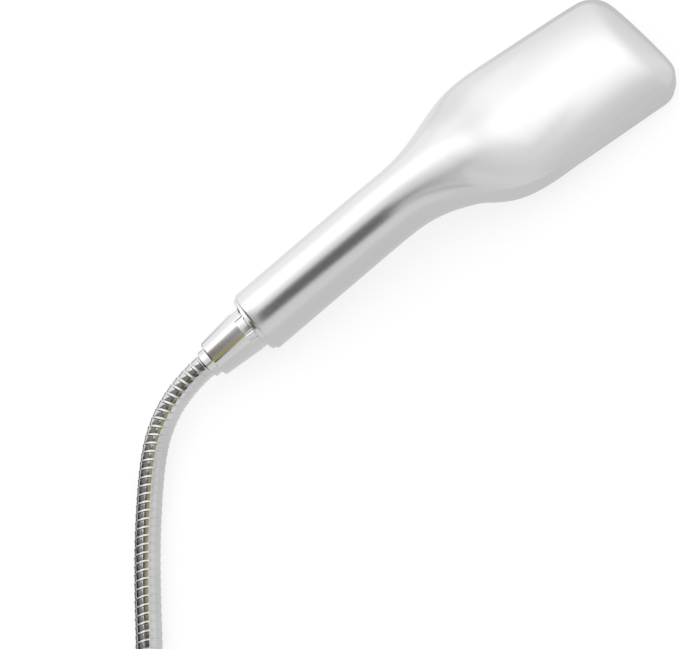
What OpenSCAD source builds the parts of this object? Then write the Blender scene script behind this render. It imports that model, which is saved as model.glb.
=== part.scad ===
// Handheld bath sprayer: a one-piece paddle handset with a crowned head, on a
// flexible metal hose that ends in a wall nut. The handset lies face down on
// the tip of its face and the end of its handle; +X runs to the tip, +Z is up.

/* [Handset shell] */
// Straight length of the round handle, from its end to the bend
grip_len = 75; // [65:1:95]
// Length of the bend, along the middle line
bend_len = 58; // [45:1:65]
// Angle between the handle and the head
bend = 11; // [6:1:15]
// Distance from the start of the bend to the start of the shoulders
flare_lag = 14; // [8:1:20]
// Length over which the handle widens into the head
flare_len = 81; // [70:1:95]
// Length of the head, from the end of the shoulders to the tip
head_len = 80; // [74:1:100]
// Distance from the start of the shoulders to where the head starts to thin
thin_lag = 38; // [30:1:45]
// Length over which the round neck thins into the flat head
thin_len = 37; // [30:1:45]
// Outside diameter of the handle
handle_d = 35; // [34:0.5:38]
// Widest width of the head
head_w = 80; // [76:1:90]
// How much narrower the head is at its tip than at its shoulders
head_taper = 4; // [0:0.5:5]
// Height of the crowned back above the middle plane of the head
crown = 12; // [11.5:0.5:14]
// How much of the neck's back follows a bell-shaped crest; the rest is an ellipse
crest_share = 0.22; // [0:0.02:0.3]
// Distance from the start of the flare to where the crest begins
crest_lag = 13; // [8:1:20]
// Length over which the crest grows to its full share
crest_rise = 53; // [45:1:60]
// Distance before the end of the flare where the crest begins to fade
crest_early = 28; // [22:1:34]
// Length over which the crest fades into the head
crest_fade = 57; // [50:1:62]
// Depth of the head below its middle plane
head_depth = 11; // [10.5:0.5:12]
// Squareness of the head's lower edges, 2 being an ellipse
edge_power = 8; // [6:1:10]
// Radius of the head's corners in plan
corner_r = 14; // [13:0.5:18]
// Length over which the back rolls down to the tip
tip_roll = 29; // [22:1:34]
// Rounding of the edge round the end of the handle
end_round = 1.2; // [0.8:0.1:1.6]
// Rounding of the edge round the tip of the head
tip_round = 1.6; // [1:0.1:2]
// Wall thickness of the shell
wall = 2.6; // [2.2:0.1:2.8]
// Wall thickness where the end of the handle takes the connector
socket_wall = 3; // [2.8:0.1:3.6]

/* [Spray face] */
// Length of the trim frame round the face
face_len = 91; // [84:1:95]
// Width of the shell's rim beside the trim frame, at the shoulders
face_rim = 3.2; // [3:0.1:4]
// Distance from the trim frame to the tip of the shell
face_margin = 1; // [0.8:0.1:2]
// Corner radius of the trim frame
face_r = 13; // [12.5:0.5:14]
// Height of the trim frame below the shell's lower edge
face_proud = 1.2; // [0.8:0.1:1.6]
// Width of the trim frame that shows
trim_w = 5.5; // [5.2:0.1:6.5]
// Thickness of the trim frame's lip
lip_t = 1.6; // [1.2:0.1:1.8]
// Depth of the seat cut in the shell's lower edge for the trim frame
seat_depth = 1.4; // [1:0.1:1.6]
// Height of the trim frame's spigot inside the shell
spigot_h = 1.8; // [1.4:0.1:2]
// Thickness of the spray plate's flange
plate_t = 2; // [1.6:0.1:2.2]
// Thickness of the silicone mat
mat_t = 1.4; // [1:0.1:1.6]
// Distance between nozzles
nozzle_pitch = 7.6; // [7:0.1:9]
// Radius of a nozzle at its root
nozzle_r = 1.7; // [1.4:0.1:2]
// Radius of a nozzle at its tip
nozzle_tip_r = 1.1; // [0.9:0.1:1.3]
// Radius of the water hole through a nozzle
jet_r = 0.5; // [0.4:0.05:0.6]
// Height of the nozzle tips below the trim frame
nozzle_proud = 0.7; // [0.4:0.1:0.9]

/* [Water tray] */
// Distance from the edge of the trim frame to the water tray
tray_inset = 9; // [8.8:0.1:10]
// Wall thickness of the water tray
tray_wall = 1.8; // [1.5:0.1:2.2]
// Height of the water tray's side wall
tray_h = 3.6; // [3:0.1:3.8]
// Thickness of the tray's seal
seal_t = 1; // [0.8:0.1:1.2]
// Distance from the edge of the trim frame to the tray screws
screw_inset = 6.4; // [6.3:0.1:6.6]
// Distance from the ends of the trim frame to the end screws
screw_margin = 16; // [14:0.5:20]
// Radius of a tray screw's shank
screw_r = 0.95; // [0.8:0.05:1.1]
// Radius of a tray screw's head
screw_head_r = 2.3; // [2:0.1:2.4]

/* [Water way] */
// Outside radius of the water tube
tube_r = 5; // [4.8:0.1:5]
// Bore radius of the water tube
tube_bore_r = 3.4; // [3:0.1:3.5]
// Depth that the water tube plugs into its sockets
plug_depth = 12; // [10:1:14]
// Wall thickness round each socket
socket_t = 1.1; // [1:0.05:1.15]
// Depth of the O-ring grooves
groove_depth = 0.9; // [0.7:0.1:1]
// Width of the O-ring grooves
groove_w = 1.6; // [1.4:0.1:2]

/* [Thread and nuts] */
// Outside diameter of the G1/2 pipe thread
thread_d = 20.955; // [20.955]
// Length of the male thread on the handset
nipple_len = 11; // [10:0.5:13]
// Thickness of the connector's collar
collar_t = 2; // [1.5:0.5:3]
// Depth of the connector inside the handle
connector_depth = 22; // [20:1:26]
// Thickness of a hose washer
washer_t = 2.4; // [2:0.1:3]
// Outside radius of the cone nut at its big end
cone_big_r = 12.3; // [12.1:0.1:13]
// Outside radius of the cone nut at its small end
cone_small_r = 10.2; // [9.8:0.1:10.6]
// Length of the grip band round the cone nut's big end
grip_band = 5; // [4:0.2:6]
// Number of flutes round the grip band
flutes = 18; // [12:1:24]
// Radius of a flute
flute_r = 1.2; // [1:0.1:1.5]
// Depth of a flute
flute_depth = 0.5; // [0.3:0.1:0.6]
// Length of the cone nut's skirt past its shoulder
skirt_len = 7.4; // [5:0.2:10]
// Distance across the flats of the wall nut
nut_flats = 24; // [24:0.5:27]
// Length of thread in the wall nut
nut_thread_len = 9.6; // [8:0.2:12]
// Thickness of a nut's shoulder
shoulder_t = 3; // [2.5:0.1:3.5]

/* [Hose] */
// Outside diameter of the hose
hose_d = 13.5; // [13:0.1:14]
// Distance from rib to rib
rib_pitch = 4.5; // [4.2:0.1:6]
// Depth of the grooves between ribs
rib_depth = 0.65; // [0.5:0.05:0.7]
// Bore radius of the metal jacket
jacket_bore_r = 5; // [4.9:0.05:5.1]
// Wall thickness of the inner hose
liner_t = 0.9; // [0.7:0.05:1]
// Radius of a hose tail's stem
stem_r = 5; // [4.6:0.1:5.4]
// Radius of a hose tail's flange
flange_r = 9.3; // [8.8:0.1:9.6]
// Thickness of a hose tail's flange
flange_t = 2; // [1.6:0.1:2.4]
// Length of a ferrule on the hose
ferrule_len = 9.5; // [9:0.5:14]
// Wall thickness of a ferrule
ferrule_t = 1.05; // [0.9:0.05:1.15]

/* [Fits] */
// Gap round a part that slides into place and stays
fit_gap = 0.1; // [0.05:0.01:0.15]
// Gap round a shaft that turns
run_gap = 0.05; // [0.02:0.01:0.09]
// Gap between pieces that pass each other
free_gap = 0.4; // [0.3:0.05:0.5]
// Gap between a thread and its nut
thread_gap = 0.0225; // [0.015:0.0025:0.05]

/* [Hidden] */

$fn = 64;
handle_r = handle_d / 2;
shell_sides = 40;
lining_sides = 28;

// Stations along the middle line, from the end of the handle
flare_start = grip_len + flare_lag;
flare_end = flare_start + flare_len;
shell_len = flare_end + head_len;
bend_end = grip_len + bend_len;
bend_r = bend_len / (bend * PI / 180);
thin_start = flare_start + thin_lag;
face_end = shell_len - face_margin;
face_start = face_end - face_len;
face_w = head_w - 2 * face_rim;

// Levels in the head, counted down from its middle plane
face_low = head_depth + face_proud;
rim_low = head_depth - seat_depth;
lip_low = face_low - lip_t;
plate_low = face_low - 0.2;
mat_low = lip_low - plate_t;
seal_low = mat_low - mat_t;
tray_low = seal_low - seal_t;
tray_top = tray_low - tray_h - tray_wall;
ear_t = 2;
nozzle_low = face_low + nozzle_proud;

// Spigots, the flange of the plate and the bosses inside the face
spigot_out = 2;
spigot_in = spigot_out + 1.8;
boss_r = 2.3;
ear_r = 3.2;

// Where the handset rests: on the tip of the face and the rounded end of the handle
tip_rest = seat(face_end, 0, -face_low);
rest_arm = [tip_rest[0] - end_round, tip_rest[2] + handle_r - end_round];
rest_tilt = -asin(end_round / norm(rest_arm)) - atan2(rest_arm[1], rest_arm[0]);
rest_lift = end_round * (1 - sin(rest_tilt)) + (handle_r - end_round) * cos(rest_tilt);

// Stations past the end of the handle, counted away from it
nipple_end = collar_t + nipple_len;
tail_face = nipple_end + washer_t;
slide_t = 1.2;
shoulder_face = tail_face + flange_t + slide_t;
shoulder_end = shoulder_face + shoulder_t;
cone_end = shoulder_end + skirt_len;
stem_len = 6.5;
ferrule_wall = 1.5;
tail_end = tail_face + flange_t + stem_len;
ferrule_out_r = hose_d / 2 + fit_gap + ferrule_t;

// Middle of the handset, so that the origin is under its middle
low_x = across_x(-cone_end, cone_small_r);
tip_top = seat(shell_len, 0, back_height(shell_len));
high_x = across_x(tip_top[0], tip_top[2]);
mid_x = (low_x + high_x) / 2;

// The hose. Its middle line leaves the cone nut, comes down to rest, and runs to the coil.
hose_lie = hose_d / 2 + 0.05;
route = [
    [-149, 0, 13.9], [-163, -2, 12.5], [-177, -7.5, 11], [-189.5, -17, 9.5],
    [-200, -29.5, 8.2], [-209.5, -42.5, 7.2], [-218.5, -56, hose_lie], [-226.5, -69.5, hose_lie],
    [-234.5, -83.5, hose_lie], [-242, -97.5, hose_lie], [-249.5, -111, hose_lie],
    [-259, -123.5, hose_lie], [-271.5, -133, hose_lie], [-286, -138.5, hose_lie],
    [-302, -140, hose_lie], [-318, -140, hose_lie], [-336, -140, hose_lie],
    [-355, -140, hose_lie], [-375, -140, hose_lie], [-394, -140, hose_lie]
];
coil_r = 79;
coil_centre = [-408, coil_r - 140];
coil_turns = 2.5;
reverse_turn = 1.25;
coil_step = hose_d + 0.7;
layer_step = hose_d + 0.6;
climb_turns = 0.5;
end_run = 66;
end_straight = 14;
end_steps = 8;
ring_turn = 1 / 24;
nut_corner_r = nut_flats / 2 + 1.5;
end_z = nut_corner_r + free_gap;

run_points = spline(concat([axis_point(-tail_end), axis_point(-tail_end - ferrule_len)], route), 8);
run_marks = distances(run_points);
run_len = run_marks[len(run_marks) - 1];
coil_points = concat([route[len(route) - 1]],
    [for (turn = [0:ring_turn:coil_turns + ring_turn / 2]) coil_point(turn)],
    [for (i = [1:end_steps]) end_point(end_run * i / end_steps)]);
coil_tangents = [for (i = [0:len(coil_points) - 1])
    i < 2 ? [-1, 0, 0]
    : i > len(coil_points) - 3 ? end_heading()
    : unit(coil_points[i + 1] - coil_points[i - 1])];
coil_len = path_length(coil_points);

echo("least gap of the coil to itself, mm", least_gap(coil_points));
echo("length of the hose, mm", run_len + coil_len);
echo("mouth of the wall nut, mm", hose_end() + end_heading() * mouth());

// ---- Curves of the shell ----

function limit(x) = min(1, max(0, x));
function ramp(x) = let (c = limit(x)) c * c * (3 - 2 * c);
function slow_ramp(x) = let (c = limit(x)) c * c * c * (c * (6 * c - 15) + 10);

// Share of the way from round neck to flat head at a station
function thinned(t) = ramp((t - thin_start) / thin_len);

// How far the rounded edges at both ends draw the surface in at a station
function arc_drop(x, r) = r * (1 - sqrt(1 - pow(limit(x / r), 2)));
function edge_drop(t) =
    arc_drop(end_round - t, end_round) + arc_drop(t - shell_len + tip_round, tip_round);

// Half the width at a station, a skin's thickness inside the surface
function half_width(t, skin) =
    let (full = handle_r + (head_w / 2 - handle_r) * slow_ramp((t - flare_start) / flare_len),
        taper = head_taper / 2 * limit((t - flare_end) / head_len),
        r = corner_r - skin,
        e = limit((t - shell_len + corner_r) / r))
    full - taper - skin - edge_drop(t) - arc_drop(e, 1) * r;

function back_height(t) =
    (handle_r + (crown - handle_r) * thinned(t))
    * sqrt(1 - 0.94 * pow(limit((t - shell_len + tip_roll) / tip_roll), 2.2)) - edge_drop(t);

function front_depth(t) = handle_r + (head_depth - handle_r) * thinned(t) - edge_drop(t);

// The middle line bends down by an arc; lean is its slope at a station
function lean(t) = bend * limit((t - grip_len) / bend_len);
function spine(t) =
    [min(t, grip_len) + bend_r * sin(lean(t)) + max(0, t - bend_end) * cos(bend),
        -bend_r * (1 - cos(lean(t))) - max(0, t - bend_end) * sin(bend)];

// A point at station t, v to the side and n towards the back, in the handset's frame
function seat(t, v, n) =
    let (p = spine(t), a = lean(t)) [p[0] + n * sin(a), v, p[1] + n * cos(a)];

function bulge(x, power) = abs(x) < 0.001 ? 0 : sign(x) * pow(abs(x), 2 / power);

// Share of the crest in the back's curve at a station, and that curve round from side to side
function crest(t) = crest_share * ramp((t - flare_start - crest_lag) / crest_rise)
    * (1 - ramp((t - flare_end + crest_early) / crest_fade));
function back_curve(a, share) = (1 - share) * sin(a) + share * pow(cos(90 * cos(a)), 2);

function section(t, skin, sides) =
    let (w = half_width(t, skin),
        low_power = 2 + (edge_power - 2) * thinned(t),
        share = crest(t))
    [for (i = [0:sides - 1])
        let (a = 360 * i / sides, low = sin(a) < -0.001)
        low ? seat(t, w * bulge(cos(a), low_power),
                (front_depth(t) - skin) * bulge(sin(a), low_power))
            : seat(t, w * cos(a), (back_height(t) - skin) * back_curve(a, share))];

function shell_stations(from, steps, skin) = concat(
    [from, (from + grip_len) / 2, grip_len],
    [for (i = [1:steps]) grip_len + (flare_end - grip_len) * i / steps],
    [for (i = [1:3]) flare_end + (head_len - tip_roll) * i / 4],
    [for (a = [0, 15, 30, 45, 60, 70, 80, 90])
        shell_len - skin - (tip_roll - skin) * (1 - sin(a))]);

// ---- Curves of the hose ----

function unit(v) = v / norm(v);

// Row-frame X of a point u along the handle's axis and w above it
function across_x(u, w) = u * cos(rest_tilt) - w * sin(rest_tilt);

// Row-frame point u along the handle's axis
function axis_point(u) =
    [across_x(u, 0) - mid_x, 0, u * sin(rest_tilt) + rest_lift];

// A cubic B-spline that starts at the first point and ends at the last
function spline(p, steps) =
    let (last = len(p) - 1, q = concat([2 * p[0] - p[1]], p, [2 * p[last] - p[last - 1]]))
    concat([for (i = [0:last - 1], k = [0:steps - 1]) blend(q, i, k / steps)], [p[last]]);
function blend(q, i, t) =
    (pow(1 - t, 3) * q[i] + (3 * pow(t, 3) - 6 * t * t + 4) * q[i + 1]
    + (-3 * pow(t, 3) + 3 * t * t + 3 * t + 1) * q[i + 2] + pow(t, 3) * q[i + 3]) / 6;

function distances(p) =
    [for (i = 0, s = 0; i < len(p); s = s + norm(p[min(i + 1, len(p) - 1)] - p[i]), i = i + 1) s];
function path_length(p) = let (d = distances(p)) d[len(d) - 1];

// Point and heading at a distance along the run
function run_at(s) =
    [for (axis = [0:2]) lookup(s, [for (i = [0:len(run_marks) - 1]) [run_marks[i], run_points[i][axis]]])];
function run_heading(s) =
    s < 1 ? [-cos(rest_tilt), 0, -sin(rest_tilt)]
    : s > run_len - 1 ? [-1, 0, 0]
    : unit(run_at(s + 1) - run_at(s - 1));

// The coil turns clockwise, in to its reversal and out again on the layer above
function coil_point(turn) =
    let (r = coil_r - coil_step * (reverse_turn - abs(turn - reverse_turn)),
        climb = ramp((turn - reverse_turn) / climb_turns + 0.5),
        a = 270 - 360 * turn)
    [coil_centre[0] + r * cos(a), coil_centre[1] + r * sin(a), hose_lie + layer_step * climb];

// Past the coil the hose comes down beside it, and its end lies straight in the wall nut
function end_heading() = [sin(270 - 360 * coil_turns), -cos(270 - 360 * coil_turns), 0];
function end_point(way) = let (start = coil_point(coil_turns))
    start + end_heading() * way
    + [0, 0, (end_z - start[2]) * ramp(way / (end_run - end_straight))];
function hose_end() = end_point(end_run);

// Least distance between parts of the coil over half a turn apart, less the hose's diameter
function least_gap(p) =
    min([for (i = [0:len(p) - 14], j = [i + 12:len(p) - 1]) norm(p[i] - p[j])]) - hose_d;

// A ring of points round a point of a path, square to its heading
function ring_at(p, heading, r, sides, first) =
    let (side = unit(cross([0, 0, 1], heading)), up = cross(heading, side))
    [for (i = [0:sides - 1])
        let (a = first + 360 * i / sides) p + r * (cos(a) * side + sin(a) * up)];

// ---- Meshes from rings ----

// Triangles between neighbouring rings, whose points start at an index
function skin_faces(rings, sides, start, inward) =
    [for (j = [0:rings - 2], i = [0:sides - 1])
        let (a = start + j * sides + i, b = start + j * sides + (i + 1) % sides,
            c = a + sides, d = b + sides)
        each (inward ? [[a, b, c], [c, b, d]] : [[a, c, b], [c, d, b]])];

module solid_of_rings(rings, sides) {
    last = len(rings) - 1;
    polyhedron([for (ring = rings) each ring],
        concat(skin_faces(len(rings), sides, 0, false),
            [[for (i = [0:sides - 1]) i]],
            [[for (i = [sides - 1:-1:0]) last * sides + i]]));
}

// A tube: outer rings and bore rings share their first and last places
module tube_of_rings(outer, bore, sides) {
    inner = len(outer) * sides;
    far_outer = (len(outer) - 1) * sides;
    far_inner = inner + (len(bore) - 1) * sides;
    polyhedron(concat([for (ring = outer) each ring], [for (ring = bore) each ring]),
        concat(skin_faces(len(outer), sides, 0, false),
            skin_faces(len(bore), sides, inner, true),
            [for (i = [0:sides - 1]) let (k = (i + 1) % sides)
                each [[i, k, inner + i], [k, inner + k, inner + i]]],
            [for (i = [0:sides - 1]) let (k = (i + 1) % sides)
                each [[far_outer + i, far_inner + i, far_outer + k],
                    [far_outer + k, far_inner + i, far_inner + k]]]));
}

// ---- Places ----

module in_handset() {
    translate([-mid_x, 0, rest_lift])
        rotate([0, -rest_tilt, 0])
            children();
}

// X is the station along the middle line, Z the height above the middle plane
module in_head() {
    place = spine(bend_end);
    in_handset()
        translate([place[0], 0, place[1]])
            rotate([0, bend, 0])
                translate([-bend_end, 0, 0])
                    children();
}

// X leads out of the hose's far end
module at_hose_end() {
    translate(hose_end())
        rotate([0, 0, atan2(end_heading()[1], end_heading()[0])])
            children();
}

// Turned about X: a profile of [radius, station] points
module turned(profile) {
    rotate([0, 90, 0])
        rotate_extrude()
            polygon(profile);
}

module disc(from, to, r) {
    translate([from, 0, 0])
        rotate([0, 90, 0])
            cylinder(h = to - from, r = r);
}

module post(x, y, from, to, r, r_low = undef) {
    translate([x, y, from])
        cylinder(h = to - from, r2 = r, r1 = is_undef(r_low) ? r : r_low);
}

// The outline of the face, drawn in by an inset
module face_outline(inset) {
    r = max(1.5, face_r - inset);
    from = face_start + inset + r;
    to = face_end - inset - r;
    side = face_w / 2 - inset - r;
    translate([from, -side - r])
        square([to - from, 2 * (side + r)]);
    translate([from - r, -side])
        square([to - from + 2 * r, 2 * side]);
    for (x = [from, to], y = [-side, side])
        translate([x, y])
            circle(r);
}

module face_slab(inset, from, to) {
    translate([0, 0, from])
        linear_extrude(to - from)
            face_outline(inset);
}

module face_ring(outer, inner, from, to) {
    translate([0, 0, from])
        linear_extrude(to - from)
            difference() {
                face_outline(outer);
                face_outline(inner);
            }
}

// Nozzles stand in rows, every other row shifted by half a pitch
module at_nozzles() {
    clear = tray_inset + tray_wall + nozzle_r + 0.4;
    row_step = nozzle_pitch * sin(60);
    rows = floor((face_len - 2 * clear) / row_step);
    columns = floor((face_w - 2 * clear) / nozzle_pitch);
    middle = (face_start + face_end) / 2;
    for (row = [0:rows]) {
        count = columns - row % 2;
        for (column = [0:count])
            translate([middle + (row - rows / 2) * row_step, (column - count / 2) * nozzle_pitch, 0])
                children();
    }
}

module at_screws() {
    middle = (face_start + face_end) / 2;
    for (x = [face_start + screw_margin, middle, face_end - screw_margin], side = [-1, 1])
        translate([x, side * (face_w / 2 - screw_inset), 0])
            children();
}

// ---- Handset ----

module shell_form(stations, skin, sides) {
    solid_of_rings([for (t = stations) section(t, skin, sides)], sides);
}

module rear_shell() {
    bore_r = handle_r - socket_wall;
    color("#c9c9cb")
        difference() {
            in_handset()
                shell_form(concat([0, 0.3 * end_round], shell_stations(end_round, 18, 0)),
                    0, shell_sides);
            in_handset()
                shell_form(shell_stations(connector_depth + 1, 12, wall), wall, lining_sides);
            in_handset()
                disc(-1, connector_depth + 2, bore_r);
            in_head()
                face_slab(-0.15, -face_low - 5, -rim_low);
            in_head()
                face_slab(spigot_out - fit_gap, -face_low, -rim_low + 5);
        }
}

module face_frame() {
    color("#d6d6d8")
        in_head() {
            face_ring(0, trim_w, -face_low, -lip_low);
            face_ring(0, spigot_in, -lip_low, -rim_low);
            face_ring(spigot_out, spigot_in, -rim_low, -rim_low + spigot_h);
        }
}

module spray_plate() {
    hole_r = nozzle_r + run_gap;
    color("#b9bcc0")
        in_head()
            difference() {
                union() {
                    face_slab(trim_w + 0.15, -plate_low, -lip_low);
                    face_slab(spigot_in + 0.15, -lip_low, -mat_low);
                    at_screws()
                        post(0, 0, -mat_low, -tray_low, boss_r);
                }
                at_nozzles()
                    post(0, 0, -plate_low - 1, -mat_low + 1, hole_r);
                at_screws()
                    post(0, 0, -mat_low - 1, -tray_low + 1, screw_r);
            }
}

module nozzle_mat() {
    color("#8e9296")
        in_head()
            difference() {
                union() {
                    face_slab(tray_inset, -mat_low, -seal_low);
                    at_nozzles() {
                        post(0, 0, -plate_low, -mat_low + 0.5, nozzle_r);
                        post(0, 0, -nozzle_low, -plate_low, nozzle_r, nozzle_tip_r);
                    }
                }
                at_nozzles()
                    post(0, 0, -nozzle_low - 1, -seal_low + 1, jet_r);
            }
}

module tray_seal() {
    color("#2b2b2d")
        in_head()
            face_ring(tray_inset, tray_inset + tray_wall, -seal_low, -tray_low);
}

module water_tray() {
    mouth = face_start - 9;
    seat_r = tube_r + run_gap;
    inside = mouth + plug_depth;
    drop = face_start + tray_inset + tray_wall + 5;
    back = drop + 7;
    color("#4a4d52")
        in_head()
            difference() {
                union() {
                    face_slab(tray_inset, -tray_low, -tray_top);
                    disc(mouth, back, seat_r + socket_t);
                    at_screws()
                        post(0, 0, -tray_low, -tray_low + ear_t, ear_r);
                }
                face_slab(tray_inset + tray_wall, -tray_low - 1, -tray_low + tray_h);
                disc(mouth - 1, inside, seat_r);
                disc(mouth, back - 2, tube_bore_r);
                post(drop, 0, -tray_low, 0, tube_bore_r - 0.2);
                at_screws()
                    post(0, 0, -tray_low - 1, 0, screw_r + 0.2);
            }
}

module tray_screws() {
    seat_z = -tray_low + ear_t;
    color("#9b9da1")
        in_head()
            at_screws()
                difference() {
                    union() {
                        post(0, 0, -mat_low - 0.9, seat_z, screw_r);
                        post(0, 0, seat_z, seat_z + 1.4, screw_head_r);
                    }
                    translate([-1.2, -0.25, seat_z + 0.8])
                        cube([2.4, 0.5, 1]);
                    translate([-0.25, -1.2, seat_z + 0.8])
                        cube([0.5, 2.4, 1]);
                }
}

tube_start = connector_depth - plug_depth;
tube_end = face_start - 9 + plug_depth;
groove_at = 5;

module groove(at) {
    difference() {
        disc(at - groove_w / 2, at + groove_w / 2, tube_r + 1);
        disc(at - groove_w / 2 - 1, at + groove_w / 2 + 1, tube_r - groove_depth);
    }
}

module o_ring(at) {
    section_r = (groove_depth + run_gap) / 2;
    translate([at, 0, 0])
        rotate([0, 90, 0])
            rotate_extrude()
                translate([tube_r - groove_depth + section_r, 0])
                    circle(section_r, $fn = 24);
}

module tube_length(from, to) {
    difference() {
        disc(from, to, tube_r);
        disc(from - 1, to + 1, tube_bore_r);
    }
}

// The bent length is a little slimmer, and reaches into both straight ones
module tube_bend() {
    overlap = 0.2;
    step = 0.05;
    translate([grip_len, 0, -bend_r])
        rotate([90, 0, 0])
            rotate([0, 0, 90 - bend - overlap])
                rotate_extrude(angle = bend + 2 * overlap, $fn = 360)
                    translate([bend_r, 0])
                        difference() {
                            circle(tube_r - step, $fn = 64);
                            circle(tube_bore_r - step, $fn = 64);
                        }
}

module water_tube() {
    color("#e8e8e4") {
        in_handset() {
            difference() {
                tube_length(tube_start, grip_len);
                groove(tube_start + groove_at);
            }
            tube_bend();
        }
        in_head()
            difference() {
                tube_length(bend_end, tube_end);
                groove(tube_end - groove_at);
            }
    }
}

module tube_o_ring_head() {
    color("#1f1f21")
        in_head()
            o_ring(tube_end - groove_at);
}

module tube_o_ring_inlet() {
    color("#1f1f21")
        in_handset()
            o_ring(tube_start + groove_at);
}

module inlet_connector() {
    plug_r = handle_r - socket_wall - run_gap;
    collar_r = handle_r - end_round - 0.2;
    seat_r = tube_r + run_gap;
    boss = seat_r + 2;
    web = 4;
    restrictor_seat = nipple_end - 7;
    color("#cfae62")
        in_handset()
            difference() {
                turned([[0, -nipple_end], [thread_d / 2 - 0.8, -nipple_end],
                    [thread_d / 2, -nipple_end + 0.8], [thread_d / 2, -collar_t],
                    [collar_r - 0.6, -collar_t], [collar_r, -collar_t + 0.6], [collar_r, 0],
                    [plug_r, 0], [plug_r, connector_depth], [0, connector_depth]]);
                difference() {
                    disc(web, connector_depth + 1, plug_r - 1.6);
                    disc(web - 1, connector_depth + 2, boss);
                }
                disc(tube_start - 0.3, connector_depth + 1, seat_r);
                disc(-nipple_end - 1, tube_start, tube_bore_r);
                disc(-nipple_end - 1, -nipple_end + 7, restrictor_r + fit_gap);
            }
}

restrictor_r = 7.4;
restrictor_t = 3;

module flow_restrictor() {
    from = -nipple_end + 7 - restrictor_t;
    color("#6f8f6a")
        in_handset()
            difference() {
                disc(from, from + restrictor_t, restrictor_r);
                disc(from - 1, from + restrictor_t + 1, 1.1);
                for (a = [0:60:300])
                    rotate([a, 0, 0])
                        translate([0, 0, 4.4])
                            disc(from - 1, from + restrictor_t + 1, 0.9);
            }
}

module filter_screen() {
    from = -tail_face + 0.6;
    screen_r = washer_bore_r - fit_gap;
    color("#aeb2b6")
        in_handset()
            difference() {
                union() {
                    disc(from, from + 0.5, screen_r);
                    difference() {
                        disc(from, from + washer_t - 0.8, screen_r);
                        disc(from - 1, from + washer_t, screen_r - 0.5);
                    }
                }
                for (y = [-3:1.5:3], z = [-3:1.5:3])
                    translate([0, y, z])
                        disc(from - 1, from + 1, 0.45);
            }
}

washer_bore_r = 5.6;

module hose_washer() {
    color("#2a2a2c")
        in_handset()
            washer_form(-tail_face);
}

module washer_form(from) {
    difference() {
        disc(from, from + washer_t, thread_d / 2 - 0.6);
        disc(from - 1, from + washer_t + 1, washer_bore_r);
    }
}

module swivel_ring() {
    color("#e6e3da")
        in_handset()
            difference() {
                disc(-shoulder_face, -shoulder_face + slide_t, flange_r);
                disc(-shoulder_face - 1, 0, stem_r + run_gap);
            }
}

module cone_nut() {
    thread_r = thread_d / 2 + thread_gap;
    mouth_x = -collar_t - free_gap;
    color("#d0d0d2")
        in_handset()
            difference() {
                turned([[cone_big_r - 0.5, mouth_x], [cone_big_r, mouth_x - 0.5],
                    [cone_big_r, mouth_x - grip_band], [cone_small_r + 0.3, -cone_end + 0.6],
                    [cone_small_r, -cone_end], [ferrule_out_r + free_gap, -cone_end],
                    [ferrule_out_r + free_gap, -shoulder_end], [stem_r + run_gap, -shoulder_end],
                    [stem_r + run_gap, -shoulder_face], [thread_r, -shoulder_face],
                    [thread_r, mouth_x]]);
                for (i = [0:flutes - 1])
                    rotate([360 * i / flutes, 0, 0])
                        translate([0, 0, cone_big_r + flute_r - flute_depth])
                            disc(mouth_x - grip_band, mouth_x + 1, flute_r);
            }
}

// ---- Hose ----

// A hose tail from its flange's face at 0, towards -X: flange, stem and barb
module hose_tail() {
    barb_r = (jacket_bore_r - fit_gap - liner_t) * cos(180 / hose_sides) - run_gap;
    tail_bore_r = barb_r - 1;
    barb_end = -flange_t - stem_len - ferrule_len - 2;
    turned([[tail_bore_r, 0], [flange_r, 0], [flange_r, -flange_t], [stem_r, -flange_t],
        [stem_r, -flange_t - stem_len], [barb_r, -flange_t - stem_len],
        [barb_r, barb_end + 1], [barb_r - 0.5, barb_end], [tail_bore_r, barb_end]]);
}

// A ferrule from its end wall's outer face at 0, towards -X
module ferrule() {
    inner_r = ferrule_out_r - ferrule_t;
    turned([[stem_r + 0.02, 0], [ferrule_out_r - 0.5, 0], [ferrule_out_r, -0.5],
        [ferrule_out_r, -ferrule_wall - ferrule_len], [inner_r, -ferrule_wall - ferrule_len],
        [inner_r, -ferrule_wall], [stem_r + 0.02, -ferrule_wall]]);
}

module at_tail() {
    in_handset()
        translate([-tail_face, 0, 0])
            children();
}

module hose_tail_upper() {
    color("#c8a85c")
        at_tail()
            hose_tail();
}

module ferrule_upper() {
    color("#d0d0d2")
        at_tail()
            translate([-flange_t - stem_len + ferrule_wall, 0, 0])
                ferrule();
}

hose_sides = 8;
bore_rings = ceil(run_len / 9);

function run_rings(r) =
    [for (i = [0:bore_rings]) let (s = run_len * i / bore_rings)
        ring_at(run_at(s), run_heading(s), r, hose_sides, 0)];

module inner_hose() {
    outer_r = jacket_bore_r - fit_gap;
    color("#3a3b3e")
        tube_of_rings(run_rings(outer_r), run_rings(outer_r - liner_t), hose_sides);
}

module hose_jacket() {
    ribs = floor(run_len / rib_pitch);
    step = run_len / ribs / 2;
    color("#b4b6b9")
        tube_of_rings(
            [for (i = [0:2 * ribs])
                ring_at(run_at(i * step), run_heading(i * step),
                    hose_d / 2 - (i % 2) * rib_depth, hose_sides, 0)],
            run_rings(jacket_bore_r), hose_sides);
}

module hose_coil() {
    color("#b4b6b9")
        difference() {
            solid_of_rings([for (i = [0:len(coil_points) - 1])
                ring_at(coil_points[i], coil_tangents[i], hose_d / 2, 6, 30)], 6);
            at_hose_end()
                disc(-ferrule_len - 3, 1, jacket_bore_r);
        }
}

// ---- Far end of the hose; X = 0 is the end of the hose there ----

tail_shift = stem_len + flange_t;

function mouth() = tail_shift + washer_t + nut_thread_len;

module hose_tail_lower() {
    color("#c8a85c")
        at_hose_end()
            translate([tail_shift, 0, 0])
                hose_tail();
}

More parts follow.
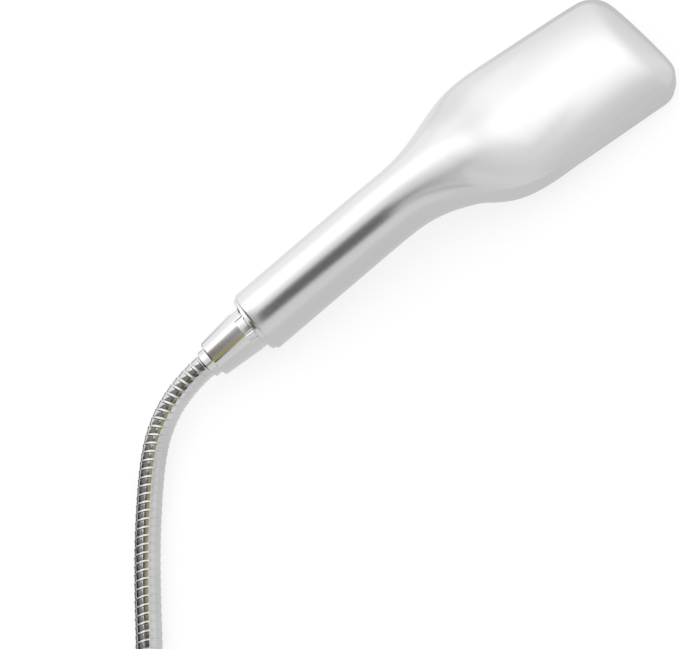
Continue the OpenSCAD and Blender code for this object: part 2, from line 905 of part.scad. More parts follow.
module ferrule_lower() {
    color("#d0d0d2")
        at_hose_end()
            translate([ferrule_wall, 0, 0])
                ferrule();
}

module wall_nut() {
    hex_r = nut_flats / 2 / cos(30);
    shoulder_in = stem_len - 0.3;
    nut_back = shoulder_in - shoulder_t;
    bore = thread_d / 2 + thread_gap;
    relief = 0.3;
    color("#cfcfd1")
        at_hose_end()
            difference() {
                intersection() {
                    translate([nut_back, 0, 0])
                        rotate([0, 90, 0])
                            cylinder(h = mouth() - nut_back, r = hex_r, $fn = 6);
                    turned([[0, nut_back], [nut_flats / 2 - 0.4, nut_back],
                        [nut_corner_r, nut_back + 1.4], [nut_corner_r, mouth() - 1.4],
                        [nut_flats / 2 - 0.4, mouth()], [0, mouth()]]);
                }
                disc(nut_back - 1, mouth(), stem_r + run_gap);
                disc(shoulder_in, mouth() - nut_thread_len, bore + relief);
                disc(shoulder_in, mouth() + 1, bore);
            }
}

module wall_washer() {
    color("#2a2a2c")
        at_hose_end()
            washer_form(tail_shift);
}

rear_shell();
face_frame();
spray_plate();
nozzle_mat();
tray_seal();
water_tray();
tray_screws();
water_tube();
tube_o_ring_head();
tube_o_ring_inlet();
inlet_connector();
flow_restrictor();
filter_screen();
hose_washer();
swivel_ring();
cone_nut();
hose_tail_upper();
ferrule_upper();
inner_hose();
hose_jacket();
hose_coil();
ferrule_lower();
hose_tail_lower();
wall_nut();
wall_washer();
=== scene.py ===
"""Looks of the handheld bath sprayer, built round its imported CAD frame.

Lengths are in metres. Only the handset's shape and the hose's route are in millimetres, as in the
CAD source, until to_row or MM brings them into the frame.
"""

import math

import bpy
import numpy as np
from mathutils import Matrix, Vector


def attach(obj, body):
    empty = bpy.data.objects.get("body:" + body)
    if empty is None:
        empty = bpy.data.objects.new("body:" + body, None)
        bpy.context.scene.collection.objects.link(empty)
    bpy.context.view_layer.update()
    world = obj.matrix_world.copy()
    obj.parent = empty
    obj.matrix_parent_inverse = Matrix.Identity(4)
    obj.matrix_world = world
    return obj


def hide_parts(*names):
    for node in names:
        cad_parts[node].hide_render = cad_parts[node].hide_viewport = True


MM = 0.001
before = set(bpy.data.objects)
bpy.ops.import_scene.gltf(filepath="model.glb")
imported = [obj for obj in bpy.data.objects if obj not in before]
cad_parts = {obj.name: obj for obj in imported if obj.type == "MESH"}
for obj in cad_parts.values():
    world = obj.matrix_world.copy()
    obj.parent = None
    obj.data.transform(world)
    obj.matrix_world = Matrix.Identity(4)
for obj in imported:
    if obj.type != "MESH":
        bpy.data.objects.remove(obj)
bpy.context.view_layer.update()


# ---- Camera, fitted to the photo's outline ----

IMAGE_W = 679
FOCAL_PX = 1738.2
SENSOR_MM = 36.0
# In degrees: the turn round the vertical, the height over the horizon and the roll
CAMERA_AZ, CAMERA_EL, CAMERA_ROLL = -0.935, 58.095, 36.837
CAMERA_TARGET = Vector((-76.6, -33.4, 20.0)) * MM
CAMERA_DISTANCE = 0.875


def make_camera():
    az, el, roll = (math.radians(a) for a in (CAMERA_AZ, CAMERA_EL, CAMERA_ROLL))
    back = Vector((math.sin(az) * math.cos(el), -math.cos(az) * math.cos(el), math.sin(el)))
    level = Vector((math.cos(az), math.sin(az), 0))
    upright = back.cross(level)
    right = math.cos(roll) * level - math.sin(roll) * upright
    up = math.sin(roll) * level + math.cos(roll) * upright
    data = bpy.data.cameras.new("camera")
    data.sensor_width = SENSOR_MM
    data.lens = SENSOR_MM * FOCAL_PX / IMAGE_W
    camera = bpy.data.objects.new("camera", data)
    bpy.context.scene.collection.objects.link(camera)
    turn = Matrix((right, up, back)).transposed()
    camera.matrix_world = Matrix.Translation(CAMERA_TARGET + CAMERA_DISTANCE * back) @ turn.to_4x4()
    bpy.context.scene.camera = camera


make_camera()


# ---- Meshes ----


def mesh_object(name, vertices, faces, material, smooth=True):
    mesh = bpy.data.meshes.new(name)
    mesh.from_pydata([tuple(v) for v in vertices], [], [tuple(int(i) for i in f) for f in faces])
    mesh.validate()
    mesh.polygons.foreach_set("use_smooth", [smooth] * len(mesh.polygons))
    mesh.materials.append(material)
    mesh.update()
    piece = bpy.data.objects.new(name, mesh)
    bpy.context.scene.collection.objects.link(piece)
    return piece


def sheet(name, low, high, material):
    """A flat rectangle between two opposite corners."""
    corners = [(low[0], low[1], 0), (high[0], low[1], 0), (high[0], high[1], 0), (low[0], high[1], 0)]
    return mesh_object(name, corners, [(0, 1, 2, 3)], material, smooth=False)


def loft_faces(rings, sides):
    """Quads between rings that follow each other, each point counted round its ring."""
    j, i = np.meshgrid(np.arange(rings - 1), np.arange(sides), indexing="ij")
    k = (i + 1) % sides
    quads = np.stack([j * sides + i, (j + 1) * sides + i, (j + 1) * sides + k, j * sides + k], -1)
    return quads.reshape(-1, 4)


# ---- Node trees ----


class Nodes:
    """A short way to write a node tree."""

    def __init__(self, tree):
        self.tree = tree

    def add(self, kind, inputs=(), **settings):
        node = self.tree.nodes.new(kind)
        for key, value in settings.items():
            setattr(node, key, value)
        for key, value in dict(inputs).items():
            if isinstance(value, bpy.types.NodeSocket):
                self.tree.links.new(value, node.inputs[key])
            else:
                node.inputs[key].default_value = value
        return node

    def noise(self, scale, detail):
        place = self.add("ShaderNodeTexCoord")
        return self.add("ShaderNodeTexNoise", {"Vector": place.outputs["Object"], "Scale": scale,
                                               "Detail": detail}).outputs["Fac"]

    def axes(self, kind):
        """The x, y and z of the texture coordinate of this kind."""
        place = self.add("ShaderNodeTexCoord")
        return self.add("ShaderNodeSeparateXYZ", {0: place.outputs[kind]}).outputs

    def range(self, value, span, first, last, soft=False):
        """From first to last while the value goes over the span."""
        return self.add("ShaderNodeMapRange", {0: value, 1: span[0], 2: span[1], 3: first, 4: last},
                        interpolation_type="SMOOTHSTEP" if soft else "LINEAR").outputs[0]

    def rise(self, value, span, top=1.0):
        return self.range(value, span, 0.0, top, soft=True)

    def fall(self, value, span, top=1.0, bottom=0.0):
        return self.range(value, span, top, bottom, soft=True)

    def math(self, operation, a, b=0.0, c=0.0):
        return self.add("ShaderNodeMath", {0: a, 1: b, 2: c}, operation=operation).outputs[0]

    def times(self, *factors):
        product = factors[0]
        for factor in factors[1:]:
            product = self.math("MULTIPLY", product, factor)
        return product

    def ramp(self, value, stops):
        node = self.add("ShaderNodeValToRGB", {0: value})
        elements = node.color_ramp.elements
        while len(elements) < len(stops):
            elements.new(0.5)
        for element, (at, colour) in zip(elements, stops):
            element.position = at
            element.color = (*colour, 1) if hasattr(colour, "__len__") else (colour,) * 3 + (1,)
        return node.outputs[0]

    def mix(self, share, a, b):
        node = self.add("ShaderNodeMix", {0: share}, data_type="RGBA")
        for key, value in ((6, a), (7, b)):
            if isinstance(value, bpy.types.NodeSocket):
                self.tree.links.new(value, node.inputs[key])
            else:
                node.inputs[key].default_value = (*value, 1)
        return node.outputs[2]

    def glow(self, kind, colour, strength=1.0):
        """An emission or background shader."""
        return self.add(kind, {"Color": colour, "Strength": strength}).outputs[0]

    def blend(self, share, first, second):
        """A mix of two shaders."""
        return self.add("ShaderNodeMixShader", {0: share, 1: first, 2: second}).outputs[0]


# ---- Procedural materials ----

PATCH_DETAIL, GRAIN_DETAIL = 4.0, 3.0
GRAIN_STRENGTH = 0.35
# The part of the noise's values that is used, because few lie outside it
NOISE_SPAN = (0.3, 0.7)


def finish_material(name, low, high, roughness, grain, metallic=0.0, depth=0.00002, patch=25.0):
    """A surface whose colour wanders between two tones, with fine grain in gloss and relief."""
    material = bpy.data.materials.new(name)
    material.use_nodes = True
    nodes = Nodes(material.node_tree)
    shader = material.node_tree.nodes["Principled BSDF"]
    tone = nodes.noise(patch, PATCH_DETAIL)
    fine = nodes.noise(grain, GRAIN_DETAIL)
    relief = nodes.add("ShaderNodeBump", {"Height": fine, "Strength": GRAIN_STRENGTH, "Distance": depth})
    for value, socket in ((nodes.mix(nodes.range(tone, NOISE_SPAN, 0.0, 1.0), low, high), "Base Color"),
                          (nodes.range(fine, NOISE_SPAN, *roughness), "Roughness"),
                          (relief.outputs[0], "Normal")):
        nodes.tree.links.new(value, shader.inputs[socket])
    shader.inputs["Metallic"].default_value = metallic
    return material


shell_chrome = finish_material("shell_chrome", (0.87, 0.87, 0.875), (0.91, 0.908, 0.905), (0.2, 0.26),
                               metallic=1.0, grain=900.0, depth=0.000004, patch=18.0)
trim_chrome = finish_material("trim_chrome", (0.84, 0.84, 0.85), (0.9, 0.9, 0.9), (0.07, 0.12),
                              metallic=1.0, grain=700.0, depth=0.000004)
hose_chrome = finish_material("hose_chrome", (0.82, 0.82, 0.83), (0.9, 0.9, 0.9), (0.09, 0.16),
                              metallic=1.0, grain=900.0, depth=0.000004, patch=60.0)
plate_grey = finish_material("plate_grey", (0.5, 0.51, 0.53), (0.56, 0.57, 0.59), (0.28, 0.4),
                             grain=1200.0, depth=0.00001)
nozzle_silicone = finish_material("nozzle_silicone", (0.3, 0.31, 0.33), (0.36, 0.37, 0.39), (0.5, 0.65),
                                  grain=900.0)
black_rubber = finish_material("black_rubber", (0.02, 0.02, 0.021), (0.035, 0.035, 0.036), (0.55, 0.75),
                               grain=900.0, depth=0.00003)
tray_plastic = finish_material("tray_plastic", (0.06, 0.065, 0.07), (0.085, 0.09, 0.095), (0.35, 0.5),
                               grain=900.0)
white_plastic = finish_material("white_plastic", (0.74, 0.74, 0.7), (0.8, 0.8, 0.77), (0.3, 0.42),
                                grain=800.0, depth=0.00001)
green_plastic = finish_material("green_plastic", (0.1, 0.24, 0.12), (0.14, 0.3, 0.16), (0.35, 0.5),
                                grain=800.0, depth=0.00001)
brass = finish_material("brass", (0.72, 0.52, 0.24), (0.82, 0.63, 0.32), (0.18, 0.3),
                        metallic=1.0, grain=600.0, depth=0.00001)
steel = finish_material("steel", (0.55, 0.55, 0.56), (0.66, 0.66, 0.67), (0.2, 0.34),
                        metallic=1.0, grain=600.0, depth=0.00001)

CAD_MATERIALS = {
    "face_frame": trim_chrome, "spray_plate": plate_grey, "nozzle_mat": nozzle_silicone,
    "tray_seal": black_rubber, "water_tray": tray_plastic, "tray_screws": steel,
    "water_tube": white_plastic, "tube_o_ring_head": black_rubber, "tube_o_ring_inlet": black_rubber,
    "inlet_connector": trim_chrome, "flow_restrictor": green_plastic, "filter_screen": steel,
    "hose_washer": black_rubber, "swivel_ring": white_plastic, "cone_nut": trim_chrome,
    "hose_tail_upper": brass, "ferrule_upper": trim_chrome, "inner_hose": black_rubber,
    "ferrule_lower": trim_chrome, "hose_tail_lower": brass, "wall_nut": trim_chrome,
    "wall_washer": black_rubber,
}
for name, material in CAD_MATERIALS.items():
    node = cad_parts[name]
    if not node.material_slots:
        node.data.materials.append(material)
    for slot in node.material_slots:
        slot.material = material


# ---- The handset's shape, as in the CAD source, in millimetres ----

# Along it: the straight grip, the bend, the shoulders that widen it, the head, and the thinning
GRIP, BEND_LEN, BEND = 75.0, 58.0, math.radians(11)
FLARE_LAG, FLARE_LEN, HEAD_LEN = 14.0, 81.0, 80.0
THIN_LAG, THIN_LEN = 38.0, 37.0
# Across it: the handle, the head's half width with its taper, and the heights of back and front
HANDLE_R, HEAD_HALF, TAPER = 17.5, 40.0, 2.0
CROWN, DEPTH, EDGE_POWER = 12.0, 11.0, 8.0
# The tip: its corners from above, then how far, how much and how late the back rolls down to it
CORNER_R, TIP_ROLL, ROLL_SHARE, ROLL_POWER = 14.0, 29.0, 0.94, 2.2
# The crest along the neck: its share in the back's form, and where it rises and fades
CREST_SHARE, CREST_LAG, CREST_RISE, CREST_EARLY, CREST_FADE = 0.22, 13.0, 53.0, 28.0, 57.0
END_ROUND, TIP_ROUND = 1.2, 1.6
# The face ends this far from the tip and stands this far out of the shell
FACE_MARGIN, FACE_PROUD = 1.0, 1.2
# How far behind the handle the cone nut ends, and its radius there
CONE_END, CONE_END_R = 29.0, 10.2
# The back keeps this much of its height, however far a section is drawn in
LEAST_BACK = 0.5

FLARE_START = GRIP + FLARE_LAG
FLARE_END = FLARE_START + FLARE_LEN
SHELL_LEN = FLARE_END + HEAD_LEN
THIN_START = FLARE_START + THIN_LAG
BEND_R = BEND_LEN / BEND

# How finely the skin is drawn: points of a section, and rings from the handle's end to the tip
BACK_POINTS, FRONT_POINTS, CURVE_POINTS = 97, 81, 721
END_RINGS, GRIP_RINGS, BODY_RINGS, ROLL_RINGS, TIP_RINGS = 6, 12, 100, 36, 8
CAP_SHARES = (0.9, 0.6, 0.3, 0.02)


def ramp3(x):
    x = np.clip(x, 0, 1)
    return x * x * (3 - 2 * x)


def ramp5(x):
    x = np.clip(x, 0, 1)
    return x * x * x * (x * (6 * x - 15) + 10)


def spine(t):
    """The middle line's x, z and lean at station t."""
    lean = BEND * np.clip((t - GRIP) / BEND_LEN, 0, 1)
    past = np.maximum(0, t - GRIP - BEND_LEN)
    x = np.minimum(t, GRIP) + BEND_R * np.sin(lean) + past * math.cos(BEND)
    z = -BEND_R * (1 - np.cos(lean)) - past * math.sin(BEND)
    return x, z, lean


def seat(t, v, n):
    """A point at station t, v to the side and n towards the back, in the handset's frame."""
    x, z, lean = spine(t)
    return np.stack([x + n * np.sin(lean), v + 0 * x, z + n * np.cos(lean)], -1)


# The handset is tilted to lie on the tip of its face and the rounded edge of the handle's end
TIP = seat(SHELL_LEN - FACE_MARGIN, 0.0, -DEPTH - FACE_PROUD)
ARM = (TIP[0] - END_ROUND, TIP[2] + HANDLE_R - END_ROUND)
TILT = -math.asin(END_ROUND / math.hypot(*ARM)) - math.atan2(ARM[1], ARM[0])
LIFT = END_ROUND * (1 - math.sin(TILT)) + (HANDLE_R - END_ROUND) * math.cos(TILT)


def lying_x(x, z):
    """Where a point of the handset's frame comes to lie, before the row frame is centred."""
    return x * math.cos(TILT) - z * math.sin(TILT)


def lying_z(x, z):
    """How high a point of the handset's frame comes to lie."""
    return x * math.sin(TILT) + z * math.cos(TILT) + LIFT


# The row frame's origin is halfway between the cone nut's end and the tip
TIP_TOP = seat(SHELL_LEN, 0.0, CROWN * math.sqrt(1 - ROLL_SHARE) - TIP_ROUND)
MIDDLE = (lying_x(-CONE_END, CONE_END_R) + lying_x(TIP_TOP[0], TIP_TOP[2])) / 2


def to_row(points):
    """From the handset's frame in millimetres to the row frame in metres."""
    x, y, z = points[..., 0], points[..., 1], points[..., 2]
    return np.stack([lying_x(x, z) - MIDDLE, y, lying_z(x, z)], -1) * MM


def widths(t):
    """Half width, height of the back, depth of the front and the front's power at station t."""
    share = ramp3((t - THIN_START) / THIN_LEN)
    half = HANDLE_R + (HEAD_HALF - HANDLE_R) * ramp5((t - FLARE_START) / FLARE_LEN)
    half = half - TAPER * np.clip((t - FLARE_END) / HEAD_LEN, 0, 1)
    corner = np.clip((t - SHELL_LEN + CORNER_R) / CORNER_R, 0, 1)
    half = half - CORNER_R * (1 - np.sqrt(1 - corner * corner))
    roll = np.clip((t - SHELL_LEN + TIP_ROLL) / TIP_ROLL, 0, 1)
    back = (HANDLE_R + (CROWN - HANDLE_R) * share) * np.sqrt(1 - ROLL_SHARE * roll ** ROLL_POWER)
    front = HANDLE_R + (DEPTH - HANDLE_R) * share
    return half, back, front, 2 + (EDGE_POWER - 2) * share


def even(v, n, count):
    """The open line (v, n), resampled to count points an equal way apart."""
    way = np.concatenate([[0], np.cumsum(np.hypot(np.diff(v), np.diff(n)))])
    at = np.linspace(0, way[-1], count)
    return np.interp(at, way, v), np.interp(at, way, n)


def section(t, inset):
    """The outline across station t, drawn in by an inset: the back, then the front."""
    half, back, front, power = (float(x) for x in widths(t))
    half, back, front = half - inset, back - min(inset, back - LEAST_BACK), front - inset
    a = np.linspace(0, math.pi, CURVE_POINTS)
    cosine, sine = np.cos(a), np.abs(np.sin(a))
    wide = np.sign(cosine) * np.abs(cosine) ** (2 / power)
    crest = CREST_SHARE * ramp3((t - FLARE_START - CREST_LAG) / CREST_RISE)
    crest = crest * (1 - ramp3((t - FLARE_END + CREST_EARLY) / CREST_FADE))
    curve = (1 - crest) * sine + crest * np.cos(math.pi / 2 * cosine) ** 2
    v1, n1 = even(half * cosine, back * curve, BACK_POINTS)
    v2, n2 = even(-half * wide, -front * sine ** (2 / power), FRONT_POINTS)
    return np.concatenate([v1, v2[1:-1]]), np.concatenate([n1, n2[1:-1]])


def stations():
    """Where the skin has its rings, each with the inset that rounds the two ends."""
    def quarter(count):
        return np.linspace(0, math.pi / 2, count)

    places = [(END_ROUND * (1 - math.sin(a)), END_ROUND * (1 - math.cos(a)))
              for a in quarter(END_RINGS)[::-1]]
    for start, end, count in ((END_ROUND, GRIP, GRIP_RINGS), (GRIP, SHELL_LEN - TIP_ROLL, BODY_RINGS)):
        places += [(t, 0.0) for t in np.linspace(start, end, count)[1:]]
    places += [(SHELL_LEN - TIP_ROLL + (TIP_ROLL - TIP_ROUND) * math.sin(a), 0.0)
               for a in quarter(ROLL_RINGS)[1:]]
    places += [(SHELL_LEN - TIP_ROUND + TIP_ROUND * math.sin(a), TIP_ROUND * (1 - math.cos(a)))
               for a in quarter(TIP_RINGS)[1:]]
    return places


def cap(ring):
    """Smaller and smaller rings that close an end."""
    centre = ring.mean(0)
    return [centre + (ring - centre) * share for share in CAP_SHARES]


def make_shell():
    rings = []
    for t, inset in stations():
        v, n = section(t, inset)
        rings.append(to_row(seat(np.full(len(v), t), v, n)))
    rings = cap(rings[0])[::-1] + rings + cap(rings[-1])
    sides = len(rings[0])
    last = sides * len(rings) - 1
    faces = list(loft_faces(len(rings), sides))
    faces += [range(sides), range(last, last - sides, -1)]
    return mesh_object("shell_skin", np.concatenate(rings), faces, shell_chrome)


shell = make_shell()
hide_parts("rear_shell")
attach(shell, "handset")


# ---- The hose, along the CAD source's route, in millimetres ----

# LIE is how high the hose's middle lies, and TAIL_END how far behind the handle the hose starts
HOSE_D, RIB_PITCH, LIE = 13.5, 4.5, 6.8
TAIL_END, FERRULE_LEN = 23.9, 9.5
ROUTE = np.array([
    (-149, 0, 13.9), (-163, -2, 12.5), (-177, -7.5, 11), (-189.5, -17, 9.5),
    (-200, -29.5, 8.2), (-209.5, -42.5, 7.2), (-218.5, -56, LIE), (-226.5, -69.5, LIE),
    (-234.5, -83.5, LIE), (-242, -97.5, LIE), (-249.5, -111, LIE), (-259, -123.5, LIE),
    (-271.5, -133, LIE), (-286, -138.5, LIE), (-302, -140, LIE), (-318, -140, LIE),
    (-336, -140, LIE), (-355, -140, LIE), (-375, -140, LIE), (-394, -140, LIE)])
# The coil winds inwards, climbs over itself at REVERSE_TURN and winds outwards again on top
COIL_CENTRE, COIL_R, COIL_TURNS, REVERSE_TURN = (-408, -61), 79.0, 2.5, 1.25
TURN_GAP, LAYER_GAP, CLIMB_TURNS = 0.7, 0.6, 0.5
# After the coil, the hose runs on to its nut, which lies at END_Z
END_RUN, END_STRAIGHT, END_Z = 66.0, 14.0, 13.9
ROUTE_STEPS, COIL_POINTS, END_POINTS = 16, 361, 34

# Over one pitch of the wound strip, how far along and the radius: groove, bead and flat band
STRIP = ((0.0, 6.15), (0.03, 6.32), (0.07, 6.47), (0.12, 6.62), (0.17, 6.72), (0.22, 6.75),
         (0.27, 6.7), (0.31, 6.58), (0.36, 6.5), (0.92, 6.46), (0.965, 6.34))
HOSE_SIDES = 32
# Half the length over which the hose's heading is measured
HEADING_STEP = 0.8


def axis_point(u):
    """A point on the handle's axis, in the row frame but in millimetres."""
    return np.array([u * math.cos(TILT) - MIDDLE, 0, u * math.sin(TILT) + LIFT])


def spline(points, steps):
    """A cubic B-spline from the first point to the last."""
    q = np.concatenate([[2 * points[0] - points[1]], points, [2 * points[-1] - points[-2]]])
    line = []
    for i in range(len(points) - 1):
        for t in np.arange(steps) / steps:
            weights = ((1 - t) ** 3, 3 * t**3 - 6 * t * t + 4, -3 * t**3 + 3 * t * t + 3 * t + 1, t**3)
            line.append(sum(w * q[i + k] for k, w in enumerate(weights)) / 6)
    return np.array(line + [points[-1]])


def coil_point(turn):
    """Inwards in the lower layer, then outwards again in the layer on top of it."""
    r = COIL_R - (HOSE_D + TURN_GAP) * (REVERSE_TURN - abs(turn - REVERSE_TURN))
    climb = ramp3((turn - REVERSE_TURN) / CLIMB_TURNS + 0.5)
    a = math.radians(270 - 360 * turn)
    return np.array([COIL_CENTRE[0] + r * math.cos(a), COIL_CENTRE[1] + r * math.sin(a),
                     LIE + (HOSE_D + LAYER_GAP) * climb])


def hose_line():
    start = [axis_point(-TAIL_END), axis_point(-TAIL_END - FERRULE_LEN)]
    run = spline(np.concatenate([start, ROUTE]), ROUTE_STEPS)
    turns = [coil_point(t) for t in np.linspace(0, COIL_TURNS, COIL_POINTS)]
    way = np.linspace(0, END_RUN, END_POINTS)[1:]
    drop = (END_Z - turns[-1][2]) * ramp3(way / (END_RUN - END_STRAIGHT))
    end = turns[-1] + np.stack([way, 0 * way, drop], -1)
    return np.concatenate([run, turns, end])


def unit(vectors):
    return vectors / np.linalg.norm(vectors, axis=-1, keepdims=True)


def strip_faces(rings):
    """Quads of the helix: past its last side, a ring goes on one pitch further along."""
    faces = []
    for j in range(rings - 1):
        for i in range(HOSE_SIDES):
            k, ahead = (i + 1, 0) if i < HOSE_SIDES - 1 else (0, len(STRIP))
            if j + ahead + 1 < rings:
                faces.append((j * HOSE_SIDES + i, (j + 1) * HOSE_SIDES + i,
                              (j + ahead + 1) * HOSE_SIDES + k, (j + ahead) * HOSE_SIDES + k))
    return faces


def make_hose():
    """The wound strip, with the line it follows and that line's length."""
    line = hose_line() * MM
    way = np.concatenate([[0], np.cumsum(np.linalg.norm(np.diff(line, axis=0), axis=1))])
    length = way[-1]

    def points_at(s):
        return np.stack([np.interp(s, way, line[:, k]) for k in range(3)], -1)

    pitches = int(length / (RIB_PITCH * MM))
    pitch = length / pitches
    ring_s = np.array([(p + at) * pitch for p in range(-1, pitches + 1) for at, _ in STRIP])
    ring_r = np.array([r * MM for p in range(-1, pitches + 1) for _, r in STRIP])
    share = np.arange(HOSE_SIDES) / HOSE_SIDES
    angle = 2 * math.pi * share
    s = np.clip(ring_s[:, None] + pitch * share, 0, length)
    heading = unit(points_at(s + HEADING_STEP * MM) - points_at(s - HEADING_STEP * MM))
    side = unit(np.cross(np.array([0, 0, 1.0]), heading))
    up = np.cross(heading, side)
    out = np.cos(angle)[None, :, None] * side + np.sin(angle)[None, :, None] * up
    points = points_at(s) + ring_r[:, None, None] * out
    hose = mesh_object("hose_strip", points.reshape(-1, 3), strip_faces(len(ring_s)), hose_chrome)
    return hose, line, length


hose, hose_path, hose_length = make_hose()
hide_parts("hose_jacket", "hose_coil")
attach(hose, "hose")


# ---- Studio ----

X_AXIS, Y_AXIS, Z_AXIS = Vector((1, 0, 0)), Vector((0, 1, 0)), Vector((0, 0, 1))
WHITE = (1, 1, 1, 1)
CARD_BLACK, CARD_WHITE = (0.02, 0.02, 0.021, 1), (1.08, 1.08, 1.08, 1)

# The way of the hose's straight run on the floor, its left, and how far left of the origin it lies
HOSE_WAY = Vector((-0.537, -0.844, 0))
HOSE_LEFT = Vector((-0.844, 0.537, 0))
HOSE_OFF = 0.153

# The handle's card hangs this far from the handle's axis, at this angle over the near horizon
HANDLE_AXIS_Z = 0.0173
CARD_WAY, CARD_LEAN = 0.14, math.radians(55)
# Where the neck's card starts and ends, along X
NECK_SPAN = (-0.03, 0.15)

# How bright gloss shows the world, by degrees from the near horizon over the top to the far one
WORLD_LEVELS = ((0, 0.62), (20, 0.59), (35, 0.58), (62, 0.61), (80, 0.64), (90, 0.75), (97, 0.91),
                (104, 1.06), (112, 1.17), (122, 1.24), (132, 1.09), (142, 0.95), (152, 0.86),
                (165, 0.81), (180, 0.87))
# The world's ramp holds shares of this strength, so that none of them is over 1
MIRROR_TOP = 1.3
LIGHT_STRENGTH = 1.22


def bare_material(name):
    material = bpy.data.materials.new(name)
    material.use_nodes = True
    material.node_tree.nodes.clear()
    return material, Nodes(material.node_tree)


def floor_tone(nodes):
    """How bright gloss shows the floor: grey nearby, lighter far away, dark on the hose's left."""
    near_tone, far_tone, tip_tone = 0.605, 0.84, 0.6
    near_to_far, towards_tip = (-0.03, 0.03), (0.04, 0.16)
    dark_share, dark_start, dark_end = 0.96, (0.02, 0.035), (0.09, 0.12)
    dark_low_end, dark_top_end = (-0.34, -0.31), (-0.17, -0.14)
    x, y, _ = nodes.axes("Object")
    far = nodes.fall(x, towards_tip, far_tone, tip_tone)
    tone = nodes.math("MULTIPLY_ADD", nodes.rise(y, near_to_far),
                      nodes.math("SUBTRACT", far, near_tone), near_tone)
    left = nodes.math("MULTIPLY_ADD", x, HOSE_LEFT.x, -HOSE_OFF)
    left = nodes.math("MULTIPLY_ADD", y, HOSE_LEFT.y, left)
    dark = nodes.times(nodes.rise(left, dark_start, dark_share), nodes.fall(left, dark_end),
                       nodes.fall(x, dark_top_end), nodes.rise(x, dark_low_end))
    return nodes.times(tone, nodes.math("SUBTRACT", 1.0, dark))


def make_floor():
    """White paper with the object's shadow, lifted towards plain white for the camera."""
    half, lift = 6.0, 0.75
    material, nodes = bare_material("floor_paper")
    ray = nodes.add("ShaderNodeLightPath").outputs
    paper = nodes.add("ShaderNodeBsdfDiffuse", {"Color": (0.94, 0.94, 0.94, 1)}).outputs[0]
    white = nodes.glow("ShaderNodeEmission", WHITE)
    seen = nodes.blend(nodes.times(ray["Is Camera Ray"], lift), paper, white)
    grey = nodes.glow("ShaderNodeEmission", (1, 0.99, 0.985, 1), floor_tone(nodes))
    nodes.add("ShaderNodeOutputMaterial", {"Surface": nodes.blend(ray["Is Glossy Ray"], seen, grey)})
    sheet("floor", (-half, -half), (half, half), material)


def make_card(name, paint, origin, along, across, low, high):
    """A soft-edged card that only gloss shows; paint gives its cover and colour from its two sides."""
    material, nodes = bare_material(name)
    a, b, _ = nodes.axes("Object")
    cover, colour = paint(nodes, a, b)
    clear = nodes.add("ShaderNodeBsdfTransparent").outputs[0]
    shown = nodes.blend(cover, clear, nodes.glow("ShaderNodeEmission", colour))
    nodes.add("ShaderNodeOutputMaterial", {"Surface": shown})
    card = sheet(name, low, high, material)
    turn = Matrix((along, across, along.cross(across))).transposed()
    card.matrix_world = Matrix.Translation(origin) @ turn.to_4x4()
    for kind in ("camera", "diffuse", "transmission", "volume_scatter", "shadow"):
        setattr(card, "visible_" + kind, False)


def handle_card(nodes, a, b):
    """The dark streak along the handle, whose middle slants a little across the card."""
    tail_end, head_end = (-0.148, -0.135), (-0.024, -0.011)
    slant, tail_middle, head_middle = (-0.1, -0.045), 0.009, -0.004
    edge, darkest = (0.026, 0.063), 0.88
    off = nodes.math("SUBTRACT", b, nodes.range(a, slant, tail_middle, head_middle))
    width = nodes.fall(nodes.math("ABSOLUTE", off), edge, darkest)
    return nodes.times(nodes.rise(a, tail_end), nodes.fall(a, head_end), width), CARD_BLACK


def neck_card(nodes, a, b):
    """Carries the handle's streak over the neck, on a cubic curve that narrows towards the head."""
    cubic, least = (85.3, -17.1, 1.528, -0.085), -0.1
    narrowing, wide, narrow = (-0.005, 0.045), 0.021, 0.009
    depths = ((0.0, 0.0), (0.05, 0.62), (0.12, 0.68), (0.28, 0.52), (0.5, 0.4), (0.7, 0.22),
              (0.83, 0.45), (0.92, 0.2), (1.0, 0.0))
    middle = cubic[0]
    for factor in cubic[1:]:
        middle = nodes.math("MULTIPLY_ADD", a, middle, factor)
    middle = nodes.math("MAXIMUM", middle, least)
    off = nodes.math("DIVIDE", nodes.math("SUBTRACT", b, middle), nodes.range(a, narrowing, wide, narrow))
    line = nodes.math("EXPONENT", nodes.times(off, off, -1.0))
    return nodes.times(line, nodes.ramp(nodes.range(a, NECK_SPAN, 0.0, 1.0), depths)), CARD_BLACK


def far_card(nodes, a, b):
    """A lighter patch for the far flank of the neck."""
    tail_end, head_end, lightest = (0.025, 0.06), (0.095, 0.13), 0.65
    low_edge, high_edge = (-0.04, -0.015), (0.015, 0.045)
    cover = nodes.times(nodes.rise(a, tail_end, lightest), nodes.fall(a, head_end),
                        nodes.rise(b, low_edge), nodes.fall(b, high_edge))
    return cover, CARD_WHITE


def hose_card(nodes, a, b):
    """Across its upper part from olive to brown, across its lower part from near black to grey."""
    olive, brown = (0.31, 0.295, 0.15), (0.075, 0.06, 0.05)
    black, grey = (0.045, 0.04, 0.035), (0.17, 0.16, 0.15)
    right_edge, left_edge, top_end = (-0.022, -0.012), (0.075, 0.095), (-0.08, -0.055)
    to_brown, to_grey, to_lower = (0.03, 0.06), (0.04, 0.07), (-0.01, 0.025)
    upper = nodes.mix(nodes.rise(b, to_brown), olive, brown)
    lower = nodes.mix(nodes.rise(b, to_grey), black, grey)
    cover = nodes.times(nodes.rise(b, right_edge), nodes.fall(b, left_edge), nodes.rise(a, top_end))
    return cover, nodes.mix(nodes.rise(a, to_lower), upper, lower)


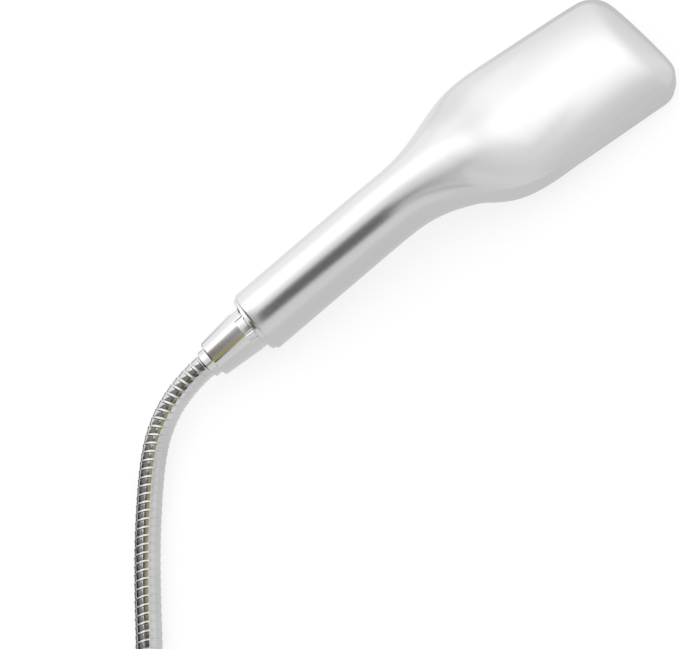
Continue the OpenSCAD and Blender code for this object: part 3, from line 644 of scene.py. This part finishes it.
def dark_room(nodes, x, turn):
    """Where gloss shows the dark room at the hose's side, and its colour, with a dim patch in it."""
    slope, highest, lowest = (-0.78, -0.5), 180.0, 110.0
    far_edge, near_edge, handle_edge = (-8.0, 8.0), (38.0, 52.0), (-0.4, -0.3)
    colours = ((0.4, (0.12, 0.1, 0.085)), (0.55, (0.17, 0.16, 0.145)), (0.68, (0.15, 0.145, 0.14)),
               (0.8, (0.015, 0.015, 0.015)))
    past = nodes.math("SUBTRACT", turn, nodes.range(x, slope, highest, lowest))
    cover = nodes.times(nodes.fall(past, far_edge), nodes.rise(turn, near_edge),
                        nodes.fall(x, handle_edge))
    return cover, nodes.ramp(nodes.times(x, -1.0), colours)


def world_mirror(nodes):
    """The world as gloss shows it: brightest past the top, grey past the tip, dark past the hose."""
    tip_fade, tip_share, tip_grey = (0.58, 0.7), 0.18, (0.53, 0.53, 0.53)
    handle_start, handle_end, handle_gain = (-0.4, -0.3), (0.12, 0.26), 0.12
    x, y, z = nodes.axes("Generated")
    turn = nodes.times(nodes.math("ARCTAN2", z, nodes.times(y, -1.0)), 180 / math.pi)
    tone = nodes.ramp(nodes.math("DIVIDE", turn, 180.0),
                      [(at / 180, level / MIRROR_TOP) for at, level in WORLD_LEVELS])
    tone = nodes.mix(nodes.fall(x, tip_fade, 1.0, tip_share), tip_grey, tone)
    cover, colour = dark_room(nodes, x, turn)
    tone = nodes.mix(cover, tone, colour)
    # A little brighter for the handle than for the head
    gain = nodes.times(nodes.rise(x, handle_start, handle_gain), nodes.fall(x, handle_end))
    strength = nodes.math("MULTIPLY_ADD", gain, MIRROR_TOP, MIRROR_TOP)
    return nodes.glow("ShaderNodeBackground", tone, strength)


def make_world():
    world = bpy.data.worlds.new("studio")
    bpy.context.scene.world = world
    world.use_nodes = True
    world.node_tree.nodes.clear()
    nodes = Nodes(world.node_tree)
    ray = nodes.add("ShaderNodeLightPath").outputs
    light = nodes.glow("ShaderNodeBackground", WHITE, LIGHT_STRENGTH)
    white = nodes.glow("ShaderNodeBackground", WHITE)
    rest = nodes.blend(ray["Is Glossy Ray"], light, world_mirror(nodes))
    nodes.add("ShaderNodeOutputWorld", {"Surface": nodes.blend(ray["Is Camera Ray"], rest, white)})


make_floor()
lean = Vector((0, -math.cos(CARD_LEAN), math.sin(CARD_LEAN)))
make_card("handle_card", handle_card, origin=HANDLE_AXIS_Z * Z_AXIS + CARD_WAY * lean, along=X_AXIS,
          across=Vector((0, lean.z, -lean.y)), low=(-0.15, -0.07), high=(0.01, 0.07))
make_card("neck_card", neck_card, origin=Vector((0, 0, 0.16)), along=X_AXIS, across=Y_AXIS,
          low=(NECK_SPAN[0], -0.18), high=(NECK_SPAN[1], 0.06))
make_card("far_card", far_card, origin=Vector((0, 0.105, 0.09)), along=X_AXIS, across=Z_AXIS,
          low=(0.02, -0.045), high=(0.135, 0.05))
make_card("hose_card", hose_card, origin=Vector((-0.2, -0.13, 0.128)), along=HOSE_WAY,
          across=HOSE_LEFT, low=(-0.1, -0.022), high=(0.13, 0.1))
make_world()
bpy.context.scene.view_settings.view_transform = "Standard"
